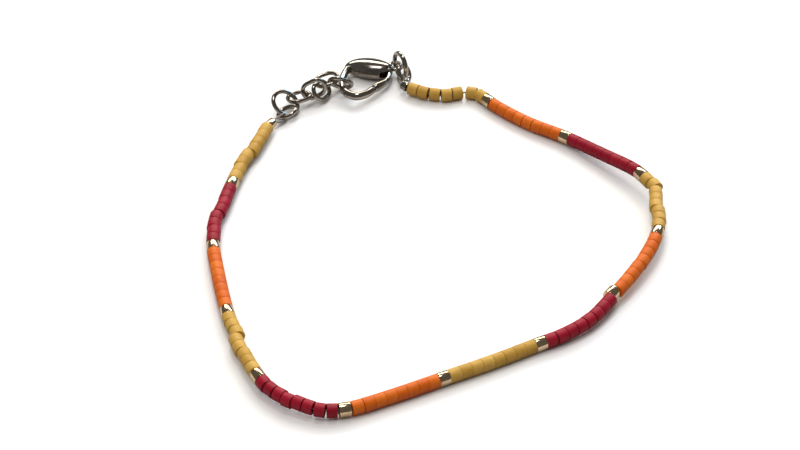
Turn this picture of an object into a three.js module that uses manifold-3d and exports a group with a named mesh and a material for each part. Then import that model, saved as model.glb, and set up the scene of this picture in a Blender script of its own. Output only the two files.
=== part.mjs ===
// Glass bead bracelet: cylinder-cut seed beads in coloured runs with gold spacers,
// a short cable chain and a lobster clasp, lying closed on a flat surface.
// Millimetres, +Z up, the surface at z = 0, the clasp at the far side (+Y).
import * as THREE from "three";
import { mergeVertices } from "three/addons/utils/BufferGeometryUtils.js";
import Module from "manifold-3d";

// Driving dimensions.
const BEAD = { radius: 0.8, bore: 0.38, neck: 0.52, sides: 10 };
const SPACER = { radius: 0.8, length: 1.255, bevel: 0.1, sides: 12 };
const PLAY = 0.03; // free room between two neighbouring beads
const EDGE = 0.14; // rounding of a bead's rim, which lets neighbours tilt closer
const RUN_COLOURS = ["yellow", "red", "orange"]; // repeated round the string
const THREAD = { radius: 0.12, sides: 5, legs: 0.14, eye: 0.47 };
const CRIMP = { radius: 0.6, bore: 0.44, chamfer: 0.08, sides: 12 };
const WIRE = { sides: 6, arc: 7 }; // sides of the section, steps round half a turn
const CLASP = { x: -5.3, y: 25.3, z: 1.1, heading: 58, segments: 44, sides: 14 };
const EYE = { u: 8.15, v: -0.55, radius: 0.8, wire: 0.5 };
const PIVOT = { u: 6.45, v: -0.56 };
const PIN = { radius: 0.22, half: 0.62, play: 0.04 };
const SLOT = { half: 0.43, reach: 2.2, back: 0.66, width: 1.8, side: -0.35 };

const COLOUR = {
  yellow: 0xd0a64e,
  red: 0xa61f33,
  orange: 0xe0702a,
  gold: 0xd9b45c,
  steel: 0x6e675f,
  thread: 0xd8d6d2,
};

// Runs in order from the chain end: how many beads, and how long the beads of it are.
const RUNS = [
  { beads: 8, length: 1.36 },
  { beads: 8, length: 1.27 },
  { beads: 8, length: 1.265 },
  { beads: 8, length: 1.22 },
  { beads: 8, length: 1.11 },
  { beads: 8, length: 1.23 },
  { beads: 8, length: 1.29 },
  { beads: 8, length: 1.22 },
  { beads: 8, length: 1.225 },
  { beads: 8, length: 1.215 },
  { beads: 8, length: 1.3 },
  { beads: 8, length: 1.26 },
  { beads: 7, length: 1.235 },
];

// Route of the string, read off the object from the chain end round to the clasp end.
// x and y lie on the surface; lift is how far the beads hang above lying flat.
const ROUTE = [
  { x: -15.9, y: 18.7, lift: 0.4 },
  { x: -17.1, y: 15.2, lift: 0.4 },
  { x: -18.5, y: 11.4, lift: 0.3 },
  { x: -19.4, y: 8.2, lift: 0.3 },
  { x: -20.4, y: 3.4, lift: 0.3 },
  { x: -20.9, y: 1.2, lift: 0.3 },
  { x: -21.1, y: -3.5, lift: 0.2 },
  { x: -20.2, y: -9.3, lift: 0.2 },
  { x: -19, y: -15.2, lift: 0.2 },
  { x: -17.9, y: -19.3, lift: 0.3 },
  { x: -16.6, y: -23.1, lift: 0.3 },
  { x: -15.3, y: -26.1, lift: 0.4 },
  { x: -13.5, y: -28.9, lift: 0.3 },
  { x: -11, y: -30.7, lift: 0.3 },
  { x: -8.5, y: -31.8, lift: 0.2 },
  { x: -5.9, y: -31.7, lift: 0.1 },
  { x: -0.6, y: -29.3, lift: 0 },
  { x: 4.6, y: -26.6, lift: 0 },
  { x: 9.8, y: -23.9, lift: 0 },
  { x: 14.9, y: -21, lift: 0 },
  { x: 17.3, y: -19.8, lift: 0.1 },
  { x: 20.5, y: -17.4, lift: 0.3 },
  { x: 23, y: -14.1, lift: 0.5 },
  { x: 26.6, y: -8.6, lift: 0.9 },
  { x: 29.1, y: -2.8, lift: 1.3 },
  { x: 29.4, y: 2.2, lift: 1.2 },
  { x: 29.6, y: 4.6, lift: 1.1 },
  { x: 29.5, y: 5.6, lift: 1.1 },
  { x: 29.0, y: 6.6, lift: 1.1 },
  { x: 27.6, y: 9.1, lift: 1 },
  { x: 24, y: 13, lift: 0.5 },
  { x: 19.7, y: 17.1, lift: 0.1 },
  { x: 15.1, y: 20.4, lift: 0 },
  { x: 10.9, y: 24.5, lift: 0 },
  { x: 10.0, y: 25.8, lift: 0 },
  { x: 8.7, y: 26.6, lift: 0 },
  { x: 7.1, y: 26.5, lift: 0 },
  { x: 5.8, y: 26.1, lift: 0 },
  { x: 4.5, y: 26.1, lift: 0 },
  { x: 3.2, y: 26.4, lift: 0.1 },
  { x: 0.8, y: 27.5, lift: 0.1 },
];

// Beads that sit off the line of their neighbours, counted from the chain end: side is how
// far they have slipped to the left of the string's direction, bare the thread after each.
const SLIPS = [
  { first: 1, last: 2, side: 0.07, bare: 0 },
  { first: 3, last: 3, side: 0.15, bare: 0 },
  { first: 4, last: 5, side: -0.14, bare: 0 },
  { first: 11, last: 12, side: 0.06, bare: 0 },
  { first: 13, last: 14, side: -0.12, bare: 0 },
  { first: 28, last: 28, side: 0.08, bare: 0 },
  { first: 29, last: 29, side: 0.2, bare: 0.04 },
  { first: 30, last: 31, side: -0.16, bare: 0 },
  { first: 37, last: 38, side: 0.08, bare: 0 },
  { first: 39, last: 39, side: -0.1, bare: 0 },
  { first: 40, last: 41, side: 0.08, bare: 0 },
  { first: 71, last: 71, side: 0.34, bare: 0 },
  { first: 72, last: 75, side: 0.08, bare: 0 },
  { first: 82, last: 83, side: -0.1, bare: 0 },
  { first: 84, last: 86, side: 0.1, bare: 0 },
  { first: 87, last: 87, side: -0.18, bare: 0 },
  { first: 109, last: 109, side: 0, bare: 0.3 },
  { first: 111, last: 111, side: 0.1, bare: 0 },
  { first: 113, last: 113, side: 0.08, bare: 0 },
];

// Outer length and width and wire thickness of each kind of link and ring.
const LINK_KINDS = {
  link: { long: 3.38, wide: 2.58, wire: 0.54 },
  small: { long: 2.78, wide: 2.78, wire: 0.54 },
  large: { long: 3.76, wide: 3.76, wire: 0.54 },
  eyed: { long: 3.6, wide: 3.6, wire: 0.6 },
  held: { long: 2.7, wide: 2.7, wire: 0.56 },
};

// Links and rings as they lie: the centre, the heading and rise of the long axis and the
// roll about it, where 0 lies flat.
const LINKS = [
  { name: "end_ring_small", kind: "small", x: -13.7, y: 22.5, z: 0.7, heading: 215, rise: -15, roll: 15 },
  { name: "end_ring_large", kind: "large", x: -13.9, y: 23.7, z: 1.2, heading: -30, rise: -35, roll: 5 },
  { name: "link_1", kind: "link", x: -12.3, y: 25.2, z: 1.1, heading: 30, rise: 0, roll: -5 },
  { name: "link_2", kind: "link", x: -10.5, y: 26.0, z: 1.7, heading: 10, rise: 25, roll: 80 },
  { name: "link_3", kind: "link", x: -9.6, y: 26.3, z: 1.3, heading: 60, rise: -5, roll: 50 },
  { name: "link_4", kind: "link", x: -9.0, y: 28.0, z: 1.7, heading: 20, rise: 10, roll: 5 },
  { name: "link_5", kind: "link", x: -7.3, y: 27.9, z: 1.3, heading: 15, rise: -30, roll: -55 },
  { name: "tail_ring_large", kind: "eyed", x: 0.05, y: 30.9, z: 1.9, heading: 123, rise: -74, roll: 96 },
  { name: "tail_ring_small", kind: "held", x: 0.5, y: 30.0, z: 1.3, heading: -16, rise: -59, roll: 6 },
].map((row) => ({ ...row, ...LINK_KINDS[row.kind] }));

// The crimps at the two ends of the string: the ring that the thread holds and the station
// of its wire, how far the crimp leans from the last bead's line towards that ring (0 is
// straight on, 1 right at it), its gap to the bead and its length.
const CHAIN_END = { ring: "end_ring_small", station: 5, lean: 0.5, gap: 0.1, length: 1.3 };
const CLASP_END = { ring: "tail_ring_small", station: 0, lean: 0.5, gap: 0.25, length: 0.8 };

// Clasp in its own frame: u runs from the bottom of the hook to the tail, v to the side of
// the thick body. half is half the width in that plane, deep half the thickness across it.
const HOOK = [
  { u: 2.2, v: -0.95, half: 0.46, deep: 0.46 },
  { u: 1.0, v: -0.7, half: 0.5, deep: 0.5 },
  { u: 0, v: 0, half: 0.52, deep: 0.5 },
  { u: -0.1, v: 1.2, half: 0.5, deep: 0.5 },
  { u: 0.6, v: 2.4, half: 0.47, deep: 0.48 },
  { u: 1.6, v: 3.2, half: 0.44, deep: 0.46 },
  { u: 2.7, v: 3.7, half: 0.44, deep: 0.46 },
  { u: 3.7, v: 3.98, half: 0.46, deep: 0.48 },
  { u: 4.35, v: 4.02, half: 0.54, deep: 0.54 },
  { u: 4.65, v: 3.95, half: 0.86, deep: 0.76 },
  { u: 5.25, v: 3.4, half: 1.32, deep: 0.94 },
  { u: 5.75, v: 2.55, half: 1.62, deep: 1.04 },
  { u: 6.1, v: 1.6, half: 1.72, deep: 1.06 },
  { u: 6.4, v: 0.7, half: 1.55, deep: 1.02 },
  { u: 6.7, v: -0.1, half: 1.18, deep: 0.9 },
  { u: 6.95, v: -0.68, half: 0.72, deep: 0.68 },
];
const LEVER = [
  { u: 6.9, v: -0.32, half: 0.28, deep: 0.34 },
  { u: 6.45, v: -0.58, half: 0.38, deep: 0.37 },
  { u: 5.9, v: -0.98, half: 0.34, deep: 0.37 },
  { u: 5.2, v: -1.25, half: 0.3, deep: 0.38 },
  { u: 4.4, v: -1.35, half: 0.3, deep: 0.44 },
  { u: 3.6, v: -1.22, half: 0.4, deep: 0.54 },
  { u: 3.0, v: -1.05, half: 0.52, deep: 0.58 },
  { u: 2.52, v: -0.98, half: 0.46, deep: 0.48 },
];

// Closed bodies from rings of points.
const wasm = await Module();
wasm.setup();

const V = (x, y, z) => new THREE.Vector3(x, y, z);
const UP = V(0, 0, 1);
const degrees = THREE.MathUtils.degToRad;

function surface(points, faces) {
  let volume = 0;
  for (const [a, b, c] of faces) volume += points[a].dot(V().crossVectors(points[b], points[c]));
  const index = faces.flatMap(([a, b, c]) => (volume < 0 ? [a, c, b] : [a, b, c]));
  const geometry = new THREE.BufferGeometry();
  geometry.setAttribute("position", new THREE.Float32BufferAttribute(points.flatMap((p) => p.toArray()), 3));
  geometry.setIndex(index);
  return geometry;
}

// Rings of equal count joined one to the next; the last meets the first again when looped,
// otherwise both ends are closed with a fan.
function skin(rings, looped) {
  const n = rings[0].length;
  const points = rings.flat();
  const faces = [];
  const spans = looped ? rings.length : rings.length - 1;
  for (let r = 0; r < spans; r++) {
    const a = r * n;
    const b = ((r + 1) % rings.length) * n;
    for (let k = 0; k < n; k++) {
      const l = (k + 1) % n;
      faces.push([a + k, b + k, b + l], [a + k, b + l, a + l]);
    }
  }
  if (!looped) {
    const last = (rings.length - 1) * n;
    for (let k = 1; k < n - 1; k++) faces.push([0, k, k + 1], [last, last + k + 1, last + k]);
  }
  return surface(points, faces);
}

// An ellipse of points round a centre, across the directions side and rise.
function ring(centre, side, rise, halfSide, halfRise, sides) {
  return Array.from({ length: sides }, (_, k) => {
    const turn = ((k + 0.5) / sides) * 2 * Math.PI;
    return centre
      .clone()
      .addScaledVector(side, halfSide * Math.cos(turn))
      .addScaledVector(rise, halfRise * Math.sin(turn));
  });
}

// A round ring square to an axis, with one flat of the polygon facing down.
function roundRing(centre, axis, radius, sides) {
  const side = V().crossVectors(axis, UP).normalize();
  const rise = V().crossVectors(side, axis).normalize();
  return Array.from({ length: sides }, (_, k) => {
    const turn = ((k + 0.5) / sides) * 2 * Math.PI - Math.PI / 2;
    return centre
      .clone()
      .addScaledVector(side, radius * Math.cos(turn))
      .addScaledVector(rise, radius * Math.sin(turn));
  });
}

function toSolid(geometry) {
  const merged = mergeVertices(geometry, 1e-4);
  return new wasm.Manifold(
    new wasm.Mesh({
      numProp: 3,
      vertProperties: merged.attributes.position.array,
      triVerts: new Uint32Array(merged.index.array),
    }),
  );
}

function fromSolid(solid) {
  const mesh = solid.getMesh();
  const geometry = new THREE.BufferGeometry();
  geometry.setAttribute("position", new THREE.BufferAttribute(new Float32Array(mesh.vertProperties), 3));
  geometry.setIndex(new THREE.BufferAttribute(new Uint32Array(mesh.triVerts), 1));
  return geometry;
}

// The scene graph.
const bracelet = new THREE.Group();

function add(name, geometry, colour, roughness, metalness) {
  geometry.deleteAttribute("normal");
  geometry.computeVertexNormals();
  const material = new THREE.MeshStandardMaterial({ color: colour, roughness, metalness });
  const mesh = new THREE.Mesh(geometry, material);
  mesh.name = name;
  bracelet.add(mesh);
  return mesh;
}
const steel = (name, geometry) => add(name, geometry, COLOUR.steel, 0.2, 1);

// Beads along the route.
const route = new THREE.CatmullRomCurve3(
  ROUTE.map((row) => V(row.x, row.y, BEAD.radius * Math.cos(Math.PI / BEAD.sides) + row.lift)),
  false,
  "centripetal",
);
route.arcLengthDivisions = 1600;
const routeLength = route.getLength();
const at = (s) => route.getPointAt(THREE.MathUtils.clamp(s / routeLength, 0, 1));
const along = (s) => route.getTangentAt(THREE.MathUtils.clamp(s / routeLength, 0, 1));

// Two beads touch at the inside of a bend, so the thread shows more there.
function roomAt(s, length) {
  const bend = along(s - length / 2).angleTo(along(s + length / 2));
  return PLAY + 2 * (BEAD.radius - EDGE) * Math.tan(bend / 2);
}

// The string in order: each run's beads, then a spacer, up to the last run.
const order = RUNS.flatMap(({ beads: count, length }, run) => {
  const row = Array(count).fill({ kind: run, length });
  return run < RUNS.length - 1 ? [...row, { kind: "spacer", length: SPACER.length }] : row;
});

let start = 0;
const beads = order.map(({ kind, length }, k) => {
  const slip = SLIPS.find((row) => row.first <= k && k <= row.last) ?? { side: 0, bare: 0 };
  const from = at(start);
  const to = at(start + length);
  const axis = to.clone().sub(from).normalize();
  const centre = from.add(to).multiplyScalar(0.5);
  centre.addScaledVector(V().crossVectors(UP, axis).normalize(), slip.side);
  start += length + roomAt(start + length, length) + slip.bare;
  return { centre, axis, length, kind };
});

const endOf = ({ centre, axis, length }, sign) => centre.clone().addScaledVector(axis, (sign * length) / 2);

const jointCentre = (a, b) => endOf(a, 1).add(endOf(b, -1)).multiplyScalar(0.5);

function runGeometry(row) {
  const outer = [];
  const inner = [];
  row.forEach((bead, k) => {
    for (const sign of [-1, 1]) {
      outer.push(roundRing(endOf(bead, sign), bead.axis, BEAD.radius, BEAD.sides));
    }
    const next = row[k + 1];
    inner.push(roundRing(endOf(bead, -1), bead.axis, BEAD.bore, BEAD.sides));
    if (!next) {
      inner.push(roundRing(endOf(bead, 1), bead.axis, BEAD.bore, BEAD.sides));
      return;
    }
    const centre = jointCentre(bead, next);
    const axis = bead.axis.clone().add(next.axis).normalize();
    outer.push(roundRing(centre, axis, BEAD.neck, BEAD.sides));
  });
  return skin([...outer, ...inner.reverse()], true);
}

function spacerGeometry(bead) {
  const { radius, length, bevel, sides } = SPACER;
  const slice = (offset, r) => {
    const centre = bead.centre.clone().addScaledVector(bead.axis, offset);
    return roundRing(centre, bead.axis, r, sides);
  };
  const end = length / 2;
  return skin(
    [
      slice(-end, radius - bevel),
      slice(bevel - end, radius),
      slice(end - bevel, radius),
      slice(end, radius - bevel),
      slice(end, BEAD.bore),
      slice(-end, BEAD.bore),
    ],
    true,
  );
}

const numbered = (name, k) => `${name}_${String(k + 1).padStart(2, "0")}`;

RUNS.forEach((_, run) => {
  const colour = RUN_COLOURS[run % RUN_COLOURS.length];
  const row = beads.filter((bead) => bead.kind === run);
  add(`${numbered("run", run)}_${colour}`, runGeometry(row), COLOUR[colour], 0.6, 0);
});
beads
  .filter((bead) => bead.kind === "spacer")
  .forEach((bead, k) => add(numbered("spacer", k), spacerGeometry(bead), COLOUR.gold, 0.2, 1));

// Links and rings.
function linkFrame(row) {
  const heading = degrees(row.heading);
  const rise = degrees(row.rise);
  const roll = degrees(row.roll);
  const long = V(Math.cos(heading) * Math.cos(rise), Math.sin(heading) * Math.cos(rise), Math.sin(rise));
  const level = V(-Math.sin(heading), Math.cos(heading), 0);
  const upright = V().crossVectors(long, level);
  const wide = level.clone().multiplyScalar(Math.cos(roll)).addScaledVector(upright, Math.sin(roll));
  return { long, wide, face: V().crossVectors(long, wide), centre: V(row.x, row.y, row.z) };
}

// Centres and outward directions round an oval: two half circles and the straights between.
function ovalStations(row) {
  const frame = linkFrame(row);
  const radius = (row.wide - row.wire) / 2;
  const straight = (row.long - row.wide) / 2;
  const stations = [];
  for (const end of [1, -1]) {
    for (let k = 0; k <= WIRE.arc; k++) {
      if (straight === 0 && k === WIRE.arc) continue;
      const turn = (k / WIRE.arc) * Math.PI - (end * Math.PI) / 2;
      const out = frame.long.clone().multiplyScalar(Math.cos(turn));
      out.addScaledVector(frame.wide, Math.sin(turn));
      const centre = frame.centre.clone().addScaledVector(out, radius);
      centre.addScaledVector(frame.long, end * straight);
      stations.push({ centre, out, face: frame.face });
    }
  }
  return stations;
}

for (const row of LINKS) {
  const half = row.wire / 2;
  const rings = ovalStations(row).map((s) => ring(s.centre, s.out, s.face, half, half, WIRE.sides));
  steel(row.name, skin(rings, true));
}

// Crimps and thread.
// The point of a ring's wire that the thread's eye goes round, and the wire's direction there.
function holdOn(name, number) {
  const station = ovalStations(LINKS.find((row) => row.name === name))[number];
  return { point: station.centre, wire: V().crossVectors(station.face, station.out) };
}

function stringEnd(row, bead, sign) {
  const face = endOf(bead, sign);
  const away = bead.axis.clone().multiplyScalar(sign);
  const hold = holdOn(row.ring, row.station);
  const toHold = hold.point.clone().sub(face).normalize();
  const out = away.multiplyScalar(1 - row.lean).addScaledVector(toHold, row.lean).normalize();
  const centre = face.clone().addScaledVector(out, row.gap + row.length / 2);
  return { ...row, face, hold, out, centre };
}
const chainEnd = stringEnd(CHAIN_END, beads[0], -1);
const claspEnd = stringEnd(CLASP_END, beads[beads.length - 1], 1);

function crimpGeometry(end) {
  const { radius, bore, chamfer, sides } = CRIMP;
  const slice = (offset, r) => {
    const centre = end.centre.clone().addScaledVector(end.out, offset);
    return roundRing(centre, end.out, r, sides);
  };
  const half = end.length / 2;
  return skin(
    [
      slice(-half, radius - chamfer),
      slice(1.5 * chamfer - half, radius),
      slice(half - 1.5 * chamfer, radius),
      slice(half, radius - chamfer),
      slice(half, bore),
      slice(-half, bore),
    ],
    true,
  );
}
add("crimp_chain_end", crimpGeometry(chainEnd), COLOUR.gold, 0.25, 1);
add("crimp_clasp_end", crimpGeometry(claspEnd), COLOUR.steel, 0.25, 1);

// The thread leaves a crimp, goes round the ring's wire and comes back beside itself.
function eyePath(end) {
  const mouth = end.centre.clone().addScaledVector(end.out, end.length / 2);
  const reach = V().subVectors(end.hold.point, mouth).normalize();
  const side = V().crossVectors(end.hold.wire, reach).normalize();
  const across = side.clone().addScaledVector(end.out, -side.dot(end.out)).normalize();
  const { eye, legs } = THREAD;
  const inCrimp = (along, aside) =>
    mouth.clone().addScaledVector(end.out, along).addScaledVector(across, aside);
  const round = (turn) => {
    const point = end.hold.point.clone().addScaledVector(reach, eye * Math.sin(turn));
    return point.addScaledVector(side, eye * Math.cos(turn));
  };
  return [
    inCrimp(-0.8 * end.length, -legs),
    inCrimp(0, -legs),
    ...[1.1, 0.75, 0.5, 0.25, -0.1].map((half) => round(half * Math.PI)),
    inCrimp(0, legs),
    inCrimp(-0.6 * end.length, legs * 0.8),
  ];
}

function threadGeometry() {
  const joints = beads.slice(1).map((bead, k) => jointCentre(beads[k], bead));
  const points = [
    ...eyePath(chainEnd),
    chainEnd.face,
    ...joints,
    claspEnd.face,
    ...eyePath(claspEnd).reverse(),
  ];
  const rings = [];
  let side = V(1, 0, 0);
  points.forEach((point, k) => {
    const before = points[Math.max(k - 1, 0)];
    const after = points[Math.min(k + 1, points.length - 1)];
    const axis = after.clone().sub(before).normalize();
    side = side.addScaledVector(axis, -side.dot(axis)).normalize();
    const across = V().crossVectors(axis, side);
    rings.push(ring(point, side.clone(), across, THREAD.radius, THREAD.radius, THREAD.sides));
  });
  return skin(rings, false);
}
add("thread", threadGeometry(), COLOUR.thread, 0.4, 0);

// Clasp.
const claspTurn = degrees(CLASP.heading);
const claspU = V(Math.cos(claspTurn), Math.sin(claspTurn), 0);
const claspV = V(-Math.sin(claspTurn), Math.cos(claspTurn), 0);
const claspPoint = (u, v, w) =>
  V(CLASP.x, CLASP.y, CLASP.z + w).addScaledVector(claspU, u).addScaledVector(claspV, v);

// A bar of elliptical section along a table of stations, rounded off at both ends.
function barGeometry(table, segments, sides) {
  const smooth = (points) => new THREE.CatmullRomCurve3(points, false, "catmullrom", 0.5);
  const path = smooth(table.map((row) => V(row.u, row.v, 0)));
  const size = smooth(table.map((row) => V(row.half, row.deep, 0)));
  const rings = [];
  const station = (t, shift, scale) => {
    const axis = path.getTangent(t);
    const centre = path.getPoint(t).addScaledVector(axis, shift);
    const { x: half, y: deep } = size.getPoint(t);
    const across = claspU.clone().multiplyScalar(-axis.y).addScaledVector(claspV, axis.x);
    rings.push(ring(claspPoint(centre.x, centre.y, 0), across, UP, half * scale, deep * scale, sides));
  };
  station(0, -0.12, 0.72);
  for (let k = 0; k <= segments; k++) station(k / segments, 0, 1);
  station(1, 0.12, 0.72);
  return skin(rings, false);
}

function torusGeometry(centre, radius, wire, sides, segments) {
  const rings = Array.from({ length: segments }, (_, k) => {
    const turn = (k / segments) * 2 * Math.PI;
    const out = V(Math.cos(turn), Math.sin(turn), 0);
    return ring(centre.clone().addScaledVector(out, radius), out, UP, wire / 2, wire / 2, sides);
  });
  return skin(rings, true);
}

function pinGeometry(radius, half, sides) {
  const geometry = new THREE.CylinderGeometry(radius, radius, 2 * half, sides);
  geometry.rotateX(Math.PI / 2);
  geometry.deleteAttribute("normal");
  geometry.deleteAttribute("uv");
  const place = claspPoint(PIVOT.u, PIVOT.v, 0);
  return geometry.translate(place.x, place.y, place.z);
}

// The recess that the lever swings into, open towards the hook's mouth.
function slotGeometry() {
  const geometry = new THREE.BoxGeometry(SLOT.reach + SLOT.back, SLOT.width, 2 * SLOT.half);
  geometry.deleteAttribute("normal");
  geometry.deleteAttribute("uv");
  geometry.translate((SLOT.back - SLOT.reach) / 2, SLOT.side, 0);
  geometry.rotateZ(claspTurn);
  const place = claspPoint(PIVOT.u, PIVOT.v, 0);
  return geometry.translate(place.x, place.y, place.z);
}

const bodySolid = toSolid(barGeometry(HOOK, CLASP.segments, CLASP.sides))
  .add(toSolid(torusGeometry(claspPoint(EYE.u, EYE.v, 0), EYE.radius, EYE.wire, 8, 18)))
  .subtract(toSolid(slotGeometry()))
  .subtract(toSolid(pinGeometry(PIN.radius + PIN.play, 3, 12)));
steel("clasp_body", fromSolid(bodySolid));

const leverBar = toSolid(barGeometry(LEVER, 14, 10));
const leverSolid = leverBar.subtract(toSolid(pinGeometry(PIN.radius + PIN.play, 3, 12)));
steel("clasp_lever", fromSolid(leverSolid));
steel("lever_pin", pinGeometry(PIN.radius, PIN.half, 10));

// The part's origin: on the surface, under the middle of the bracelet.
const bounds = new THREE.Box3().setFromObject(bracelet);
const middle = bounds.getCenter(V());
for (const mesh of bracelet.children) mesh.position.set(-middle.x, -middle.y, -bounds.min.z);

export default bracelet;
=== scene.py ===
"""A glass bead bracelet with gold spacers, a short cable chain and a lobster clasp."""

import math

import bmesh
import bpy
import numpy as np
from mathutils import Matrix, Vector


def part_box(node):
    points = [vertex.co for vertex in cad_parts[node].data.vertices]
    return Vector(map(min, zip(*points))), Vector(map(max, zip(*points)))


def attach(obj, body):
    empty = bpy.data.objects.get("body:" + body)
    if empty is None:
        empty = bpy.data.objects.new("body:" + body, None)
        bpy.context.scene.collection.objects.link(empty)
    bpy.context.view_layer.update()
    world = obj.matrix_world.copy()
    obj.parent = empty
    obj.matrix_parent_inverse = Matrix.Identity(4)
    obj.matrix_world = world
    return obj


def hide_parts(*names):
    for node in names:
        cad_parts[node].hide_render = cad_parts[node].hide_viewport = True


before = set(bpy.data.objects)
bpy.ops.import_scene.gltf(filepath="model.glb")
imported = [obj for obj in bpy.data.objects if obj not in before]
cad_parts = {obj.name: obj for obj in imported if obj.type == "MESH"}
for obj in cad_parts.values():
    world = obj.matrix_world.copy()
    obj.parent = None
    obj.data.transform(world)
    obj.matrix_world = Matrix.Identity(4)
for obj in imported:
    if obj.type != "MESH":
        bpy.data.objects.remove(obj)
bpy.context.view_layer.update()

MM = 0.001

# Sizes of the pieces in millimetres, as the bracelet was made. A bead is longer by "more"
# than its share of the string, and narrower by up to the share "uneven" than its radius.
BEAD = {"radius": 0.79, "more": 0.02, "bore": 0.38, "rim": 0.05, "uneven": 0.025}
SPACER = {"radius": 0.795, "more": 0.01, "bore": 0.38, "rim": 0.05, "uneven": 0.01}
SPACER_LENGTH = 1.255
# The string's line runs above the floor by the half width of a bead with ten flats.
BEAD_REACH = 0.8
BEAD_FLATS = 10
BEAD_LINE = BEAD_REACH * math.cos(math.pi / BEAD_FLATS)
# Play between neighbours, and how far in from their rims they touch in a bend.
PLAY = 0.03
EDGE = 0.14
RUN_COLOURS = ("yellow", "red", "orange")
# Runs in order from the chain end: how many beads, and how long each of them is.
RUNS = (
    (8, 1.36),
    (8, 1.27),
    (8, 1.265),
    (8, 1.22),
    (8, 1.11),
    (8, 1.23),
    (8, 1.29),
    (8, 1.22),
    (8, 1.225),
    (8, 1.215),
    (8, 1.3),
    (8, 1.26),
    (7, 1.235),
)
THREAD = {"radius": 0.12, "legs": 0.14, "eye": 0.47}
# Half turns round the ring's wire where the thread's eye has its points, and how much of
# the crimp its leg from the beads and its cut leg run through.
EYE_TURNS = (1.1, 0.75, 0.5, 0.25, -0.1)
LEG_SHARE = 0.8
CUT_LEG_SHARE = 0.6
CRIMP = {"radius": 0.6, "bore": 0.44, "chamfer": 0.08}
CLASP = {"x": -5.3, "y": 25.3, "z": 1.1, "heading": math.radians(58)}
TAIL_EYE = {"u": 8.15, "v": -0.55, "radius": 0.8, "wire": 0.5}
PIVOT = {"u": 6.45, "v": -0.56}
PIN = {"radius": 0.22, "half": 0.62, "play": 0.04}
DRILL_LENGTH = 6
SLOT = {"half": 0.43, "reach": 2.2, "back": 0.66, "width": 1.8, "side": -0.35}

ROUTE_STEPS = 1600
# Route of the string from the chain end round to the clasp end: x, y, and how far the
# beads hang above lying flat.
ROUTE = (
    (-15.9, 18.7, 0.4),
    (-17.1, 15.2, 0.4),
    (-18.5, 11.4, 0.3),
    (-19.4, 8.2, 0.3),
    (-20.4, 3.4, 0.3),
    (-20.9, 1.2, 0.3),
    (-21.1, -3.5, 0.2),
    (-20.2, -9.3, 0.2),
    (-19, -15.2, 0.2),
    (-17.9, -19.3, 0.3),
    (-16.6, -23.1, 0.3),
    (-15.3, -26.1, 0.4),
    (-13.5, -28.9, 0.3),
    (-11, -30.7, 0.3),
    (-8.5, -31.8, 0.2),
    (-5.9, -31.7, 0.1),
    (-0.6, -29.3, 0),
    (4.6, -26.6, 0),
    (9.8, -23.9, 0),
    (14.9, -21, 0),
    (17.3, -19.8, 0.1),
    (20.5, -17.4, 0.3),
    (23, -14.1, 0.5),
    (26.6, -8.6, 0.9),
    (29.1, -2.8, 1.3),
    (29.4, 2.2, 1.2),
    (29.6, 4.6, 1.1),
    (29.5, 5.6, 1.1),
    (29, 6.6, 1.1),
    (27.6, 9.1, 1),
    (24, 13, 0.5),
    (19.7, 17.1, 0.1),
    (15.1, 20.4, 0),
    (10.9, 24.5, 0),
    (10, 25.8, 0),
    (8.7, 26.6, 0),
    (7.1, 26.5, 0),
    (5.8, 26.1, 0),
    (4.5, 26.1, 0),
    (3.2, 26.4, 0.1),
    (0.8, 27.5, 0.1),
)

# Beads off the line of their neighbours, counted from the chain end: the first and last of
# them, how far they slipped to the left of the string's direction, the bare thread after.
SLIPS = (
    (1, 2, 0.07, 0),
    (3, 3, 0.15, 0),
    (4, 5, -0.14, 0),
    (11, 12, 0.06, 0),
    (13, 14, -0.12, 0),
    (28, 28, 0.08, 0),
    (29, 29, 0.2, 0.04),
    (30, 31, -0.16, 0),
    (37, 38, 0.08, 0),
    (39, 39, -0.1, 0),
    (40, 41, 0.08, 0),
    (71, 71, 0.34, 0),
    (72, 75, 0.08, 0),
    (82, 83, -0.1, 0),
    (84, 86, 0.1, 0),
    (87, 87, -0.18, 0),
    (109, 109, 0, 0.3),
    (111, 111, 0.1, 0),
    (113, 113, 0.08, 0),
)

# Outer length, outer width and wire thickness of each kind of link and ring.
LINK_KINDS = {
    "link": (3.38, 2.58, 0.54),
    "small": (2.78, 2.78, 0.54),
    "large": (3.76, 3.76, 0.54),
    "eyed": (3.6, 3.6, 0.6),
    "held": (2.7, 2.7, 0.56),
}

# Node, kind, centre, then the heading and rise of the long axis and the roll about it.
LINKS = (
    ("end_ring_small", "small", (-13.7, 22.5, 0.7), 215, -15, 15),
    ("end_ring_large", "large", (-13.9, 23.7, 1.2), -30, -35, 5),
    ("link_1", "link", (-12.3, 25.2, 1.1), 30, 0, -5),
    ("link_2", "link", (-10.5, 26.0, 1.7), 10, 25, 80),
    ("link_3", "link", (-9.6, 26.3, 1.3), 60, -5, 50),
    ("link_4", "link", (-9.0, 28.0, 1.7), 20, 10, 5),
    ("link_5", "link", (-7.3, 27.9, 1.3), 15, -30, -55),
    ("tail_ring_large", "eyed", (0.05, 30.9, 1.9), 123, -74, 96),
    ("tail_ring_small", "held", (0.5, 30.0, 1.3), -16, -59, 6),
)
RING_STATIONS = 7

# The crimps: the ring that the thread holds and the station of its wire, the lean from
# the last bead's line towards the ring, the gap to the bead and the length.
CHAIN_END = {"ring": "end_ring_small", "station": 5, "lean": 0.5, "gap": 0.1, "length": 1.3}
CLASP_END = {"ring": "tail_ring_small", "station": 0, "lean": 0.5, "gap": 0.25, "length": 0.8}

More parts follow.
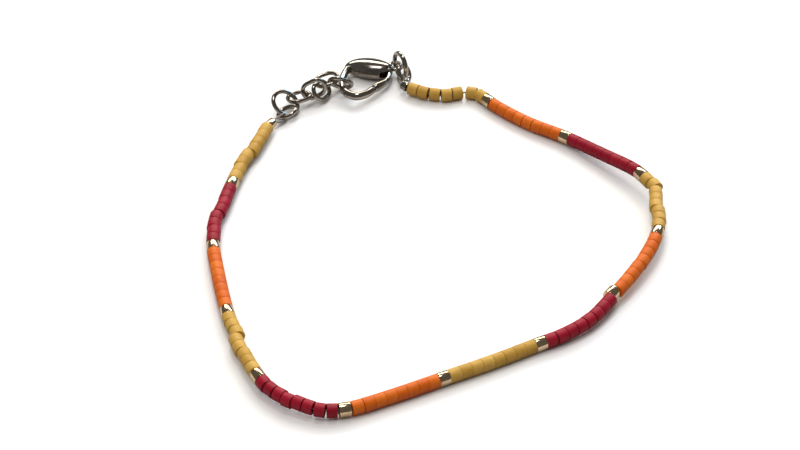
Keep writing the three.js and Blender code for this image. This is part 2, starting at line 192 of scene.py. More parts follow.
# The clasp in its own frame: u from the bottom of the hook to the tail, v to the side of
# the thick body, then half the width in that plane and half the depth across it.
HOOK = (
    (2.2, -0.95, 0.46, 0.46),
    (1.0, -0.7, 0.5, 0.5),
    (0, 0, 0.52, 0.5),
    (-0.1, 1.2, 0.5, 0.5),
    (0.6, 2.4, 0.47, 0.48),
    (1.6, 3.2, 0.44, 0.46),
    (2.7, 3.7, 0.44, 0.46),
    (3.7, 3.98, 0.46, 0.48),
    (4.35, 4.02, 0.54, 0.54),
    (4.65, 3.95, 0.86, 0.76),
    (5.25, 3.4, 1.32, 0.94),
    (5.75, 2.55, 1.62, 1.04),
    (6.1, 1.6, 1.72, 1.06),
    (6.4, 0.7, 1.55, 1.02),
    (6.7, -0.1, 1.18, 0.9),
    (6.95, -0.68, 0.72, 0.68),
)
LEVER = (
    (6.9, -0.32, 0.28, 0.34),
    (6.45, -0.58, 0.38, 0.37),
    (5.9, -0.98, 0.34, 0.37),
    (5.2, -1.25, 0.3, 0.38),
    (4.4, -1.35, 0.3, 0.44),
    (3.6, -1.22, 0.4, 0.54),
    (3.0, -1.05, 0.52, 0.58),
    (2.52, -0.98, 0.46, 0.48),
)

# Rounded ends of a bar: the shift past its last station and the share of its section.
BAR_ENDS = ((0.12, 0.7), (0.09, 0.85), (0.05, 0.95))
# Softness of the cast clasp: the smallest detail kept, and the rounds of tumbling.
CASTING = {"body": (0.05, 4), "lever": (0.035, 3)}

UP = Vector((0, 0, 1))

# Camera, floor and light.
VIEW = {"elevation": math.radians(37.6), "distance": 292, "lens": 115.2, "aim": (0, 0, 0.8)}
FLOOR_SIZE = 3.0
FLOOR_DROP = 0.03
FLOOR_PALE = (0.95, 0.95, 0.95, 1)
FLOOR_BOUNCE = (0.5, 0.48, 0.46, 1)
WORLD_LIGHT = {"Color": (1, 0.95, 0.9, 1), "Strength": 0.1}
# Softboxes: name, place and size in metres, watts, colour, and whether metal mirrors it.
LIGHTS = (
    ("key", (0.2, 0.62, 0.6), (0.8, 0.6), 6.5, (1, 0.98, 0.95), False),
    ("fill", (-0.2, -0.3, 0.7), (0.5, 0.5), 2.8, (1, 0.97, 0.94), False),
    ("window", (0, 0.18, 0.8), (0.17, 0.17), 1.2, (1, 1, 1), True),
    ("rim", (-0.05, 0.62, 0.42), (0.6, 0.2), 2, (1, 0.94, 0.82), True),
    ("sky_glint", (0.4, 0.6, 0.4), (0.2, 0.2), 1.1, (0.4, 0.7, 1), True),
)


def clasp_point(u, v, w=0.0):
    """A point of the clasp's own frame, in the frame that the route is drawn in."""
    c, s = math.cos(CLASP["heading"]), math.sin(CLASP["heading"])
    x = CLASP["x"] + u * c - v * s
    y = CLASP["y"] + u * s + v * c
    return Vector((x, y, CLASP["z"] + w))


def origin_shift():
    """From the frame that the route is drawn in to the part's own, read off the pin."""
    low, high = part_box("lever_pin")
    return (low + high) / 2 / MM - clasp_point(PIVOT["u"], PIVOT["v"])


SHIFT = origin_shift()


def to_part(point):
    return (Vector(point) + SHIFT) * MM


def aim(thing, at):
    thing.rotation_mode = "QUATERNION"
    thing.rotation_quaternion = (at - thing.location).to_track_quat("-Z", "Y")


def make_camera():
    camera = bpy.data.objects.new("camera", bpy.data.cameras.new("camera"))
    bpy.context.scene.collection.objects.link(camera)
    camera.data.lens = VIEW["lens"]
    camera.data.sensor_width = 36
    camera.data.clip_start = 0.01
    at = to_part(VIEW["aim"])
    back = Vector((0, -math.cos(VIEW["elevation"]), math.sin(VIEW["elevation"])))
    camera.location = at + back * VIEW["distance"] * MM
    aim(camera, at)
    bpy.context.scene.camera = camera


def make_light(name, where, size, power, colour, mirrored):
    data = bpy.data.lights.new(name, "AREA")
    data.shape = "RECTANGLE"
    data.size, data.size_y = size
    data.energy = power
    data.color = colour
    light = bpy.data.objects.new(name, data)
    bpy.context.scene.collection.objects.link(light)
    light.location = where
    light.visible_glossy = mirrored
    aim(light, Vector((0, 0, 0)))


def make_studio():
    for row in LIGHTS:
        make_light(*row)
    world = bpy.data.worlds.new("studio")
    bpy.context.scene.world = world
    world.use_nodes = True
    for key, value in WORLD_LIGHT.items():
        world.node_tree.nodes["Background"].inputs[key].default_value = value
    bpy.context.scene.view_settings.view_transform = "Standard"


def make_floor():
    half = FLOOR_SIZE / 2
    low = -FLOOR_DROP * MM
    corners = [(-half, -half, low), (half, -half, low), (half, half, low), (-half, half, low)]
    mesh = bpy.data.meshes.new("floor")
    mesh.from_pydata(corners, [], [(0, 1, 2, 3)])
    floor = bpy.data.objects.new("floor", mesh)
    bpy.context.scene.collection.objects.link(floor)
    material = bpy.data.materials.new("floor_paper")
    material.use_nodes = True
    tree = material.node_tree
    shader = tree.nodes["Principled BSDF"]
    shader.inputs["Roughness"].default_value = 0.9
    seen = place(tree, "ShaderNodeLightPath").outputs["Is Camera Ray"]
    tree.links.new(mix_colours(tree, seen, FLOOR_BOUNCE, FLOOR_PALE), shader.inputs["Base Color"])
    mesh.materials.append(material)


# Node trees, for shapes and for finishes.
def place(tree, kind, values=None, **settings):
    """Adds a node; values fill its sockets with numbers or with other nodes' outputs."""
    node = tree.nodes.new(kind)
    for key, value in settings.items():
        setattr(node, key, value)
    for key, value in (values or {}).items():
        if isinstance(value, bpy.types.NodeSocket):
            tree.links.new(value, node.inputs[key])
        else:
            node.inputs[key].default_value = value
    return node


def new_group(name, kind, inputs, outputs):
    """A node group with named sockets; each row is name, socket type and default."""
    tree = bpy.data.node_groups.new(name, kind)
    for direction, rows in (("INPUT", inputs), ("OUTPUT", outputs)):
        for label, socket, *default in rows:
            made = tree.interface.new_socket(label, in_out=direction, socket_type=socket)
            if default:
                made.default_value = default[0]
    return tree, tree.nodes.new("NodeGroupInput").outputs, tree.nodes.new("NodeGroupOutput")


def maths(tree, operation, first, second=0.0, third=0.0):
    values = {0: first, 1: second, 2: third}
    return place(tree, "ShaderNodeMath", values, operation=operation).outputs[0]


def shape_inputs(*rows):
    return [("Geometry", "NodeSocketGeometry"), *rows, ("Finish", "NodeSocketMaterial")]


def finish_shape(tree, outlet, geometry, finish):
    """Realizes what a shape tree made, smooths it and gives it its finish."""
    real = place(tree, "GeometryNodeRealizeInstances", {"Geometry": geometry})
    smooth = place(tree, "GeometryNodeSetShadeSmooth", {"Geometry": real.outputs[0]})
    dressed = place(
        tree, "GeometryNodeSetMaterial", {"Geometry": smooth.outputs[0], "Material": finish}
    )
    tree.links.new(dressed.outputs[0], outlet.inputs[0])


def bead_row_tree():
    """Beads on the given points: a rounded wall swept round the bore, one on each point."""
    tree, given, outlet = new_group(
        "bead_row",
        "GeometryNodeTree",
        shape_inputs(
            ("Radius", "NodeSocketFloat", 0.0008),
            ("Length", "NodeSocketFloat", 0.00125),
            ("Bore", "NodeSocketFloat", 0.0004),
            ("Rim", "NodeSocketFloat", 0.0001),
            ("Uneven", "NodeSocketFloat", 0.01),
            ("Seed", "NodeSocketInt", 1),
        ),
        [("Geometry", "NodeSocketGeometry")],
    )
    middle = maths(tree, "MULTIPLY", maths(tree, "ADD", given["Radius"], given["Bore"]), 0.5)
    path = place(
        tree, "GeometryNodeCurvePrimitiveCircle", {"Resolution": 36, "Radius": middle}
    )
    upright = place(
        tree, "GeometryNodeSetCurveNormal", {"Curve": path.outputs[0]}, mode="Z_UP"
    )
    wall = place(
        tree,
        "GeometryNodeCurvePrimitiveQuadrilateral",
        {"Width": maths(tree, "SUBTRACT", given["Radius"], given["Bore"]), "Height": given["Length"]},
    )
    rounded = place(
        tree,
        "GeometryNodeFilletCurve",
        {"Curve": wall.outputs[0], "Count": 3, "Radius": given["Rim"]},
        mode="POLY",
    )
    bead = place(
        tree,
        "GeometryNodeCurveToMesh",
        {"Curve": upright.outputs[0], "Profile Curve": rounded.outputs[0]},
    )
    height = place(
        tree,
        "ShaderNodeSeparateXYZ",
        {0: place(tree, "GeometryNodeInputPosition").outputs[0]},
    )
    # Share of the bead's length out from its middle, kept as bead_end; the glass finish darkens by it
    # as painted shade at the bead ends.
    share = maths(tree, "DIVIDE", maths(tree, "ABSOLUTE", height.outputs["Z"]), given["Length"])
    ended = place(
        tree,
        "GeometryNodeStoreNamedAttribute",
        {"Geometry": bead.outputs[0], "Name": "bead_end", "Value": share},
        data_type="FLOAT",
        domain="POINT",
    )
    axis = place(tree, "GeometryNodeInputNamedAttribute", {"Name": "axis"}, data_type="FLOAT_VECTOR")
    turn = place(
        tree, "FunctionNodeAlignRotationToVector", {"Vector": axis.outputs[0]}, axis="Z"
    )
    low = maths(tree, "SUBTRACT", 1.0, given["Uneven"])
    size = place(
        tree,
        "FunctionNodeRandomValue",
        {"Min": low, "Max": 1.0, "Seed": given["Seed"]},
        data_type="FLOAT",
    )
    scale = place(
        tree,
        "ShaderNodeCombineXYZ",
        {"X": size.outputs[1], "Y": size.outputs[1], "Z": 1.0},
    )
    strung = place(
        tree,
        "GeometryNodeInstanceOnPoints",
        {
            "Points": given["Geometry"],
            "Instance": ended.outputs[0],
            "Rotation": turn.outputs[0],
            "Scale": scale.outputs[0],
        },
    )
    tone = place(
        tree,
        "FunctionNodeRandomValue",
        {"Seed": maths(tree, "ADD", given["Seed"], 7)},
        data_type="FLOAT",
    )
    toned = place(
        tree,
        "GeometryNodeStoreNamedAttribute",
        {"Geometry": strung.outputs[0], "Name": "bead_tone", "Value": tone.outputs[1]},
        data_type="FLOAT",
        domain="INSTANCE",
    )
    finish_shape(tree, outlet, toned.outputs[0], given["Finish"])
    return tree


def wire_loop_tree():
    """One link or ring at the origin, long along X: wire bent round an oval and cut once."""
    tree, given, outlet = new_group(
        "wire_loop",
        "GeometryNodeTree",
        shape_inputs(
            ("Long", "NodeSocketFloat", 0.0034),
            ("Wide", "NodeSocketFloat", 0.0026),
            ("Wire", "NodeSocketFloat", 0.0005),
            ("Cut", "NodeSocketFloat", 0.003),
        ),
        [("Geometry", "NodeSocketGeometry")],
    )
    width = maths(tree, "SUBTRACT", given["Long"], given["Wire"])
    height = maths(tree, "SUBTRACT", given["Wide"], given["Wire"])
    oval = place(
        tree, "GeometryNodeCurvePrimitiveQuadrilateral", {"Width": width, "Height": height}
    )
    bent = place(
        tree,
        "GeometryNodeFilletCurve",
        {"Curve": oval.outputs[0], "Count": 14, "Radius": maths(tree, "MULTIPLY", height, 0.4999)},
        mode="POLY",
    )
    upright = place(
        tree, "GeometryNodeSetCurveNormal", {"Curve": bent.outputs[0]}, mode="Z_UP"
    )
    even = place(tree, "GeometryNodeResampleCurve", {"Curve": upright.outputs[0], "Count": 72})
    trimmed = place(
        tree,
        "GeometryNodeTrimCurve",
        {"Curve": even.outputs[0], "End": maths(tree, "SUBTRACT", 1.0, given["Cut"])},
    )
    section = place(
        tree,
        "GeometryNodeCurvePrimitiveCircle",
        {"Resolution": 20, "Radius": maths(tree, "MULTIPLY", given["Wire"], 0.5)},
    )
    wire = place(
        tree,
        "GeometryNodeCurveToMesh",
        {"Curve": trimmed.outputs[0], "Profile Curve": section.outputs[0], "Fill Caps": True},
    )
    finish_shape(tree, outlet, wire.outputs[0], given["Finish"])
    return tree


def strand_tree():
    """Thread along the given line of points."""
    tree, given, outlet = new_group(
        "strand",
        "GeometryNodeTree",
        shape_inputs(("Radius", "NodeSocketFloat", 0.0001), ("Steps", "NodeSocketInt", 900)),
        [("Geometry", "NodeSocketGeometry")],
    )
    line = place(tree, "GeometryNodeMeshToCurve", {"Mesh": given["Geometry"]})
    kind = place(
        tree, "GeometryNodeCurveSplineType", {"Curve": line.outputs[0]}, spline_type="CATMULL_ROM"
    )
    even = place(
        tree,
        "GeometryNodeResampleCurve",
        {"Curve": kind.outputs[0], "Count": given["Steps"]},
    )
    section = place(
        tree,
        "GeometryNodeCurvePrimitiveCircle",
        {"Resolution": 10, "Radius": given["Radius"]},
    )
    tube = place(
        tree,
        "GeometryNodeCurveToMesh",
        {"Curve": even.outputs[0], "Profile Curve": section.outputs[0], "Fill Caps": True},
    )
    finish_shape(tree, outlet, tube.outputs[0], given["Finish"])
    return tree


def grow(name, tree, values, points=(), edges=(), axes=None):
    """Runs a shape tree on the given points and returns the result as a plain mesh object."""
    seed_mesh = bpy.data.meshes.new(name + "_seed")
    seed_mesh.from_pydata([tuple(p) for p in points], edges, [])
    if axes is not None:
        attribute = seed_mesh.attributes.new("axis", "FLOAT_VECTOR", "POINT")
        attribute.data.foreach_set("vector", np.array(axes, np.float32).ravel())
    seed = bpy.data.objects.new(name + "_seed", seed_mesh)
    bpy.context.scene.collection.objects.link(seed)
    modifier = seed.modifiers.new("shape", "NODES")
    modifier.node_group = tree
    for item in tree.interface.items_tree:
        if item.in_out == "INPUT" and item.name in values:
            modifier[item.identifier] = values[item.name]
    bpy.context.view_layer.update()
    graph = bpy.context.evaluated_depsgraph_get()
    mesh = bpy.data.meshes.new_from_object(seed.evaluated_get(graph), depsgraph=graph)
    seed.modifiers.clear()
    bpy.data.objects.remove(seed)
    return add_piece(name, mesh)


def add_piece(name, mesh):
    mesh.name = name
    piece = bpy.data.objects.new(name, mesh)
    bpy.context.scene.collection.objects.link(piece)
    return piece


def stand_for(piece, body, slot, *nodes):
    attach(piece, body)
    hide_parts(*nodes)


def sharpen(mesh, degrees):
    mesh.shade_smooth()
    mesh.set_sharp_from_angle(angle=math.radians(degrees))


# Finishes.
def cloud_and_seam_shade_group():
    """Uneven colour of opaque glass, a cloudy body and a tone of its own per bead, with painted shade
    darkening each bead towards its end faces, where shade falls in the seams between neighbours.
    """
    tree, given, outlet = new_group(
        "glass_cloud_and_seam_shade",
        "ShaderNodeTree",
        [
            ("Deep", "NodeSocketColor", (0.4, 0.2, 0.05, 1)),
            ("Pale", "NodeSocketColor", (0.8, 0.6, 0.3, 1)),
            ("Cloud Size", "NodeSocketFloat", 900.0),
            ("Tone Spread", "NodeSocketFloat", 0.5),
        ],
        [
            ("Color", "NodeSocketColor"),
            ("Roughness", "NodeSocketFloat"),
            ("Height", "NodeSocketFloat"),
        ],
    )
    where = place(tree, "ShaderNodeTexCoord").outputs["Object"]
    cloud = place(
        tree,
        "ShaderNodeTexNoise",
        {"Vector": where, "Scale": given["Cloud Size"], "Detail": 3.0, "Roughness": 0.6},
    )
    grain = place(
        tree, "ShaderNodeTexNoise", {"Vector": where, "Scale": 9000.0, "Detail": 2.0}
    )
    tone = place(tree, "ShaderNodeAttribute", attribute_name="bead_tone")
    end = place(tree, "ShaderNodeAttribute", attribute_name="bead_end")
    shift = maths(
        tree, "MULTIPLY", maths(tree, "SUBTRACT", tone.outputs["Fac"], 0.5), given["Tone Spread"]
    )
    share = maths(tree, "ADD", cloud.outputs[0], shift)
    clamped = place(tree, "ShaderNodeClamp", {"Value": share})
    body = mix_colours(tree, clamped.outputs[0], given["Deep"], given["Pale"])
    # Painted shade: towards each bead's end faces the colour darkens to the deep tint, standing in for
    # the shade in the seams between beads.
    shaded = place(
        tree,
        "ShaderNodeMapRange",
        {"Value": end.outputs["Fac"], "From Min": 0.4, "From Max": 0.5, "To Min": 0.0, "To Max": 0.35},
        interpolation_type="SMOOTHSTEP",
    )
    dark = mix_colours(tree, shaded.outputs[0], body, given["Deep"])
    tree.links.new(dark, outlet.inputs["Color"])
    rough = place(
        tree,
        "ShaderNodeMapRange",
        {"Value": grain.outputs[0], "To Min": 0.42, "To Max": 0.6},
    )
    tree.links.new(rough.outputs[0], outlet.inputs["Roughness"])
    tree.links.new(grain.outputs[0], outlet.inputs["Height"])
    return tree


def mix_colours(tree, share, first, second):
    node = tree.nodes.new("ShaderNodeMix")
    node.data_type = "RGBA"
    for socket, value in ((node.inputs[0], share), (node.inputs[6], first), (node.inputs[7], second)):
        if isinstance(value, bpy.types.NodeSocket):
            tree.links.new(value, socket)
        else:
            socket.default_value = value
    return node.outputs[2]


def handling_group():
    """Marks of wear on polished metal: cloudy smudges, fine scratches and small dints."""
    tree, given, outlet = new_group(
        "metal_handling",
        "ShaderNodeTree",
        [
            ("Clean", "NodeSocketColor", (0.8, 0.7, 0.5, 1)),
            ("Dull", "NodeSocketColor", (0.4, 0.3, 0.2, 1)),
            ("Polish", "NodeSocketFloat", 0.1),
            ("Smudge", "NodeSocketFloat", 0.15),
        ],
        [
            ("Color", "NodeSocketColor"),
            ("Roughness", "NodeSocketFloat"),
            ("Height", "NodeSocketFloat"),
        ],
    )
    where = place(tree, "ShaderNodeTexCoord").outputs["Object"]
    cloud = place(
        tree, "ShaderNodeTexNoise", {"Vector": where, "Scale": 700.0, "Detail": 4.0}
    )
    patch = place(
        tree,
        "ShaderNodeMapRange",
        {"Value": cloud.outputs[0], "From Min": 0.45, "From Max": 0.75},
        interpolation_type="SMOOTHSTEP",
    )
    stretched = place(
        tree, "ShaderNodeMapping", {"Vector": where, "Scale": (1.0, 9.0, 4.0)}
    )
    scratch = place(
        tree,
        "ShaderNodeTexNoise",
        {"Vector": stretched.outputs[0], "Scale": 2600.0, "Detail": 5.0, "Roughness": 0.7},
    )
    tree.links.new(
        mix_colours(tree, patch.outputs[0], given["Clean"], given["Dull"]), outlet.inputs["Color"]
    )
    rough = maths(tree, "MULTIPLY_ADD", patch.outputs[0], given["Smudge"], given["Polish"])
    tree.links.new(rough, outlet.inputs["Roughness"])
    tree.links.new(scratch.outputs[0], outlet.inputs["Height"])
    return tree


def new_finish(name, group, values, settings, bump):
    """A Principled finish fed by one group; bump is its strength and depth in metres."""
    material = bpy.data.materials.new(name)
    material.use_nodes = True
    tree = material.node_tree
    shader = tree.nodes["Principled BSDF"]
    for key, value in settings.items():
        shader.inputs[key].default_value = value
    marks = place(tree, "ShaderNodeGroup", node_tree=group)
    for key, value in values.items():
        marks.inputs[key].default_value = value
    relief = place(
        tree,
        "ShaderNodeBump",
        {"Strength": bump[0], "Distance": bump[1], "Height": marks.outputs["Height"]},
    )
    tree.links.new(marks.outputs["Color"], shader.inputs["Base Color"])
    tree.links.new(marks.outputs["Roughness"], shader.inputs["Roughness"])
    tree.links.new(relief.outputs[0], shader.inputs["Normal"])
    return material


def make_finishes():
    cloud = cloud_and_seam_shade_group()
    handled = handling_group()
    glass = {"Specular IOR Level": 0.25, "Coat Weight": 0.08, "Coat Roughness": 0.35}
    metal = {"Metallic": 1.0}
    tints = {
        "yellow": ((0.47, 0.25, 0.035, 1), (0.73, 0.47, 0.11, 1)),
        "red": ((0.23, 0.004, 0.014, 1), (0.43, 0.013, 0.036, 1)),
        "orange": ((0.6, 0.095, 0.004, 1), (0.86, 0.22, 0.02, 1)),
    }
    made = {
        # The glass colours carry painted shade at the bead ends from the cloud group.
        colour: new_finish(
            colour + "_glass",
            cloud,
            {"Deep": deep, "Pale": pale},
            glass,
            (0.25, 0.00001),
        )
        for colour, (deep, pale) in tints.items()
    }
    made["gold"] = new_finish(
        "gold_plate",
        handled,
        {"Clean": (0.9, 0.69, 0.45, 1), "Dull": (0.68, 0.48, 0.3, 1), "Polish": 0.12, "Smudge": 0.14},
        metal,
        (0.1, 0.00001),
    )
    made["steel"] = new_finish(
        "dark_polished_steel",
        handled,
        {"Clean": (0.5, 0.46, 0.41, 1), "Dull": (0.27, 0.23, 0.2, 1), "Polish": 0.08, "Smudge": 0.12},
        metal,
        (0.1, 0.00001),
    )
    made["thread"] = new_finish(
        "clear_nylon",
        cloud,
        {"Deep": (0.3, 0.28, 0.26, 1), "Pale": (0.5, 0.48, 0.45, 1), "Cloud Size": 2500.0},
        {"Transmission Weight": 0.35, "IOR": 1.5},
        (0.1, 0.00001),
    )
    return made


# The string of beads.
def spline(points, steps, power):
    """Points along a Catmull-Rom curve; power 0.25 is centripetal and 0 is uniform."""
    rows = [np.array(p, float) for p in points]
    rows = [2 * rows[0] - rows[1], *rows, 2 * rows[-1] - rows[-2]]
    curve = []
    for k in range(steps + 1):
        along = k / steps * (len(points) - 1)
        i = min(int(along), len(points) - 2)
        t = along - i
        a, b, c, d = rows[i : i + 4]
        ab, bc, cd = (
            max(float(((q - p) ** 2).sum()), 1e-12) ** power for p, q in ((a, b), (b, c), (c, d))
        )
        start = ((b - a) / ab - (c - a) / (ab + bc) + (c - b) / bc) * bc
        stop = ((c - b) / bc - (d - b) / (bc + cd) + (d - c) / cd) * bc
        cubic = 2 * b - 2 * c + start + stop
        square = -3 * b + 3 * c - 2 * start - stop
        curve.append(b + start * t + square * t**2 + cubic * t**3)
    return np.array(curve)


class String:
    """The route as a line that can be asked for a point or a direction at any length."""

    def __init__(self):
        line = [(x, y, BEAD_LINE + lift) for x, y, lift in ROUTE]
        self.points = spline(line, ROUTE_STEPS, 0.25)
        steps = np.linalg.norm(np.diff(self.points, axis=0), axis=1)
        self.lengths = np.concatenate(([0], np.cumsum(steps)))

    def at(self, s):
        return Vector([np.interp(s, self.lengths, self.points[:, k]) for k in range(3)])

    def along(self, s):
        reach = 0.05
        s = min(max(s, reach), self.lengths[-1] - reach)
        return (self.at(s + reach) - self.at(s - reach)).normalized()


def slip_of(number):
    """How far a bead has slipped to the left, and the bare thread after it."""
    return next(
        ((side, bare) for first, last, side, bare in SLIPS if first <= number <= last), (0, 0)
    )


def lay_beads():
    """Centre, axis and kind of each bead in order, laid end to end along the route."""
    route = String()
    order = []
    for run, (count, length) in enumerate(RUNS):
        order += [(run, length)] * count
        if run < len(RUNS) - 1:
            order.append(("spacer", SPACER_LENGTH))
    beads = []
    start = 0.0
    for number, (kind, length) in enumerate(order):
        side, bare = slip_of(number)
        first, last = route.at(start), route.at(start + length)
        axis = (last - first).normalized()
        centre = (first + last) / 2 + UP.cross(axis).normalized() * side
        beads.append({"centre": centre, "axis": axis, "length": length, "kind": kind})
        bend = route.along(start + length / 2).angle(route.along(start + 1.5 * length), 0.0)
        room = PLAY + 2 * (BEAD_REACH - EDGE) * math.tan(bend / 2)
        start += length + room + bare
    return beads


def string_beads(name, tree, beads, sizes, finish, seed):
    values = {label: sizes[label.lower()] * MM for label in ("Radius", "Bore", "Rim")}
    values["Length"] = (beads[0]["length"] + sizes["more"]) * MM
    values.update({"Uneven": sizes["uneven"], "Seed": seed, "Finish": finish})
    points = [to_part(bead["centre"]) for bead in beads]
    piece = grow(name, tree, values, points, axes=[bead["axis"] for bead in beads])
    sharpen(piece.data, 50)
    return piece


def make_beads(beads, finishes):
    tree = bead_row_tree()
    for run in range(len(RUNS)):
        colour = RUN_COLOURS[run % len(RUN_COLOURS)]
        row = [bead for bead in beads if bead["kind"] == run]
        label = f"{run + 1:02d}_{colour}"
        piece = string_beads(f"beads_{label}", tree, row, BEAD, finishes[colour], run)
        stand_for(piece, "bracelet", colour + "_glass", f"run_{label}")
    spacers = [bead for bead in beads if bead["kind"] == "spacer"]
    for number, bead in enumerate(spacers, 1):
        label = f"gold_bead_{number:02d}"
        piece = string_beads(label, tree, [bead], SPACER, finishes["gold"], number)
        stand_for(piece, "bracelet", "gold", f"spacer_{number:02d}")


# Chain, rings, crimps and thread.
def link_axes(heading, rise, roll):
    h, r, t = (math.radians(a) for a in (heading, rise, roll))
    long = Vector((math.cos(h) * math.cos(r), math.sin(h) * math.cos(r), math.sin(r)))
    level = Vector((-math.sin(h), math.cos(h), 0))
    wide = level * math.cos(t) + long.cross(level) * math.sin(t)
    return long, wide, long.cross(wide)


def ring_station(name, number):
    """The wire's centre and its direction at one station of a round ring."""
    _, kind, centre, heading, rise, roll = next(row for row in LINKS if row[0] == name)
    _, outer, wire = LINK_KINDS[kind]
    long, wide, face = link_axes(heading, rise, roll)
    turn = number / RING_STATIONS * math.pi - math.pi / 2
    out = long * math.cos(turn) + wide * math.sin(turn)
    return Vector(centre) + out * (outer - wire) / 2, face.cross(out)


def make_links(finishes):
    tree = wire_loop_tree()
    for name, kind, centre, heading, rise, roll in LINKS:
        long_size, wide_size, wire = (size * MM for size in LINK_KINDS[kind])
        values = {"Long": long_size, "Wide": wide_size, "Wire": wire, "Finish": finishes["steel"]}
        piece = grow(f"{name}_wire", tree, values)
        long, wide, face = link_axes(heading, rise, roll)
        turn = Matrix((long, wide, face)).transposed().to_4x4()
        piece.data.transform(Matrix.Translation(to_part(centre)) @ turn)
        sharpen(piece.data, 50)
        stand_for(piece, "bracelet", "steel", name)


def string_end(row, bead, sign):
    """Where a crimp sits: the bead's end face, the direction out, and what its eye holds."""
    face = bead["centre"] + bead["axis"] * sign * bead["length"] / 2
    hold, wire = ring_station(row["ring"], row["station"])
    to_hold = (hold - face).normalized()
    out = (bead["axis"] * sign * (1 - row["lean"]) + to_hold * row["lean"]).normalized()
    centre = face + out * (row["gap"] + row["length"] / 2)
    return {**row, "face": face, "hold": hold, "wire": wire, "out": out, "centre": centre}


def eye_path(end):
    mouth = end["centre"] + end["out"] * end["length"] / 2
    reach = (end["hold"] - mouth).normalized()
    side = end["wire"].cross(reach).normalized()
    across = (side - end["out"] * side.dot(end["out"])).normalized()
    legs = THREAD["legs"]

    def in_crimp(along, aside):
        return mouth + end["out"] * along + across * aside

    def around(turn):
        return end["hold"] + (reach * math.sin(turn) + side * math.cos(turn)) * THREAD["eye"]

    return [
        in_crimp(-LEG_SHARE * end["length"], -legs),
        in_crimp(0, -legs),
        *[around(half_turn * math.pi) for half_turn in EYE_TURNS],
        in_crimp(0, legs),
        in_crimp(-CUT_LEG_SHARE * end["length"], legs * 0.8),
    ]


def make_thread(beads, ends, finishes):
    chain_end, clasp_end = ends
    stops = [bead["centre"] + bead["axis"] * bead["length"] / 2 for bead in beads]
    starts = [bead["centre"] - bead["axis"] * bead["length"] / 2 for bead in beads]
    joints = [(stop + start) / 2 for stop, start in zip(stops, starts[1:])]
    path = [
        *eye_path(chain_end),
        chain_end["face"],
        *joints,
        clasp_end["face"],
        *reversed(eye_path(clasp_end)),
    ]
    edges = [(k, k + 1) for k in range(len(path) - 1)]
    values = {"Radius": THREAD["radius"] * MM, "Steps": 1400, "Finish": finishes["thread"]}
    piece = grow("nylon_thread", strand_tree(), values, [to_part(p) for p in path], edges)
    stand_for(piece, "bracelet", "thread", "thread")


def add_form(name, form):
    """A finished bmesh as a piece, with its faces outward."""
    bmesh.ops.recalc_face_normals(form, faces=form.faces)
    mesh = bpy.data.meshes.new(name)
    form.to_mesh(mesh)
    form.free()
    return add_piece(name, mesh)


def skin(name, rings, capped=False):
    """A solid with its wall from ring to ring of points, back to the first or capped."""
    form = bmesh.new()
    loops = [[form.verts.new(point) for point in ring] for ring in rings]
    following = loops[1:] if capped else loops[1:] + loops[:1]
    for near, far in zip(loops, following):
        for n in range(len(near)):
            m = (n + 1) % len(near)
            form.faces.new((near[n], near[m], far[m], far[n]))
    if capped:
        form.faces.new(reversed(loops[0]))
        form.faces.new(loops[-1])
    return add_form(name, form)


def circle(centre, first, second, radius, steps):
    """Points round a centre, from the first direction towards the second."""
    turns = [2 * math.pi * k / steps for k in range(steps)]
    return [
        centre + first * radius * math.cos(turn) + second * radius * math.sin(turn)
        for turn in turns
    ]


def lathe(name, profile, centre, axis, steps=32):
    """A turned solid: profile rows are the place along the axis and the radius."""
    side = axis.orthogonal().normalized()
    lift = axis.cross(side)
    rings = [circle(centre + axis * offset, side, lift, radius, steps) for offset, radius in profile]
    return skin(name, [[to_part(point) for point in ring] for ring in rings])


def make_crimps(ends, finishes):
    rows = (
        ("crimp_chain_end", ends[0], "gold"),
        ("crimp_clasp_end", ends[1], "steel"),
    )
    radius, bore, chamfer = CRIMP["radius"], CRIMP["bore"], CRIMP["chamfer"]
    for node, end, finish in rows:
        half = end["length"] / 2
        lip = 0.3 * chamfer
        profile = [
            (-half, radius - chamfer),
            (lip - half, radius - lip),
            (1.5 * chamfer - half, radius),
            (half - 1.5 * chamfer, radius),
            (half - lip, radius - lip),
            (half, radius - chamfer),
            (half, bore),
            (-half, bore),
        ]
        piece = lathe(node + "_tube", profile, end["centre"], end["out"])
        piece.data.materials.append(finishes[finish])
        sharpen(piece.data, 50)
        stand_for(piece, "bracelet", finish, node)


# The clasp.
def bar(name, table, steps, sides):
    """A closed bar of oval section along a table of stations, with rounded ends."""
    lines = spline([(u, v, 0) for u, v, _, _ in table], steps, 0)
    sizes = spline([(half, deep, 0) for _, _, half, deep in table], steps, 0)
    slopes = np.gradient(lines, axis=0)

    def station(k, shift, scale):
        axis = slopes[k] / np.linalg.norm(slopes[k])
        centre = lines[k] + axis * shift
        half, deep = sizes[k][:2] * scale
        ring = []
        for n in range(sides):
            turn = 2 * math.pi * (n + 0.5) / sides
            aside = half * math.cos(turn)
            u, v = centre[0] - axis[1] * aside, centre[1] + axis[0] * aside
            ring.append(to_part(clasp_point(u, v, deep * math.sin(turn))))
        return ring

    rings = [station(0, -shift, scale) for shift, scale in BAR_ENDS]
    rings += [station(k, 0, 1) for k in range(steps + 1)]
    rings += [station(steps, shift, scale) for shift, scale in reversed(BAR_ENDS)]
    return skin(name, rings, capped=True)


def eye_ring():
    """The fixed eye at the clasp's tail."""
    centre = clasp_point(TAIL_EYE["u"], TAIL_EYE["v"])
    steps, sides = 48, 20
    rings = []
    for k in range(steps):
        turn = 2 * math.pi * k / steps
        out = Vector((math.cos(turn), math.sin(turn), 0))
        wire = circle(centre + out * TAIL_EYE["radius"], out, UP, TAIL_EYE["wire"] / 2, sides)
        rings.append([to_part(point) for point in wire])
    return skin("eye_ring", rings)


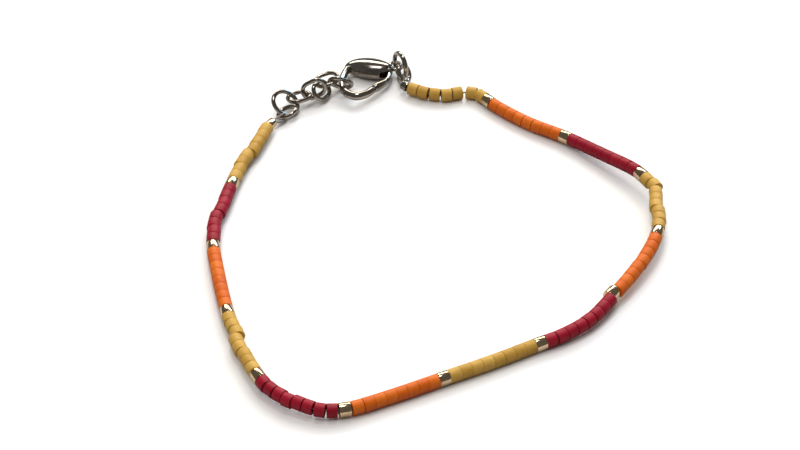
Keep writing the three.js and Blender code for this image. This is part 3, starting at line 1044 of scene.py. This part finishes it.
def lever_slot():
    """The block that cuts the lever's slot out of the casting."""
    form = bmesh.new()
    bmesh.ops.create_cube(form, size=1)
    size = (SLOT["reach"] + SLOT["back"], SLOT["width"], 2 * SLOT["half"])
    bmesh.ops.scale(form, vec=size, verts=form.verts)
    move = ((SLOT["back"] - SLOT["reach"]) / 2, SLOT["side"], 0)
    bmesh.ops.translate(form, vec=move, verts=form.verts)
    spin = Matrix.Rotation(CLASP["heading"], 4, "Z")
    scale = Matrix.Scale(MM, 4)
    pivot = Matrix.Translation(to_part(clasp_point(PIVOT["u"], PIVOT["v"])))
    bmesh.ops.transform(form, matrix=pivot @ scale @ spin, verts=form.verts)
    return add_form("lever_slot", form)


def drill(name):
    """A rod through the whole clasp that cuts the pin's hole."""
    radius = (PIN["radius"] + PIN["play"]) * MM
    form = bmesh.new()
    bmesh.ops.create_cone(
        form, cap_ends=True, segments=32, radius1=radius, radius2=radius, depth=DRILL_LENGTH * MM
    )
    move = to_part(clasp_point(PIVOT["u"], PIVOT["v"]))
    bmesh.ops.translate(form, vec=move, verts=form.verts)
    return add_form(name, form)


def settle(piece):
    """Turns a piece's modifiers into its plain mesh."""
    bpy.context.view_layer.update()
    graph = bpy.context.evaluated_depsgraph_get()
    mesh = bpy.data.meshes.new_from_object(piece.evaluated_get(graph), depsgraph=graph)
    piece.modifiers.clear()
    piece.data = mesh


def join_forms(piece, tool, operation):
    modifier = piece.modifiers.new(operation.lower(), "BOOLEAN")
    modifier.operation = operation
    modifier.object = tool
    modifier.solver = "EXACT"
    settle(piece)
    bpy.data.objects.remove(tool)


def cast(piece, voxel, rounds):
    """Softens a joined form as cast and tumbled metal is, with small fillets."""
    remesh = piece.modifiers.new("cast", "REMESH")
    remesh.mode = "VOXEL"
    remesh.voxel_size = voxel * MM
    soften = piece.modifiers.new("tumbled", "SMOOTH")
    soften.factor = 0.5
    soften.iterations = rounds
    settle(piece)
    piece.data.shade_smooth()


def pin_profile():
    """Half outline of the pin with domed ends: the place along its axis and the radius."""
    half, radius = PIN["half"], PIN["radius"]
    dome = ((0, 0.01), (0, 0.6 * radius), (0.04, radius - 0.03), (0.1, radius))
    low = [(inset - half, wide) for inset, wide in dome]
    return low + [(half - inset, wide) for inset, wide in reversed(dome)]


def make_clasp(finishes):
    body = bar("clasp_casting", HOOK, 150, 36)
    join_forms(body, eye_ring(), "UNION")
    join_forms(body, lever_slot(), "DIFFERENCE")
    join_forms(body, drill("pin_hole"), "DIFFERENCE")
    cast(body, *CASTING["body"])
    body.data.materials.append(finishes["steel"])
    stand_for(body, "bracelet", "steel", "clasp_body")
    lever = bar("lever_arm", LEVER, 60, 28)
    join_forms(lever, drill("lever_hole"), "DIFFERENCE")
    cast(lever, *CASTING["lever"])
    lever.data.materials.append(finishes["steel"])
    stand_for(lever, "lever", "steel", "clasp_lever")
    pin = lathe("rivet_pin", pin_profile(), clasp_point(PIVOT["u"], PIVOT["v"]), UP)
    pin.data.materials.append(finishes["steel"])
    sharpen(pin.data, 50)
    stand_for(pin, "bracelet", "steel", "lever_pin")


make_camera()
make_studio()
make_floor()
finishes = make_finishes()
beads = lay_beads()
ends = (string_end(CHAIN_END, beads[0], -1), string_end(CLASP_END, beads[-1], 1))
make_beads(beads, finishes)
make_links(finishes)
make_crimps(ends, finishes)
make_thread(beads, ends, finishes)
make_clasp(finishes)
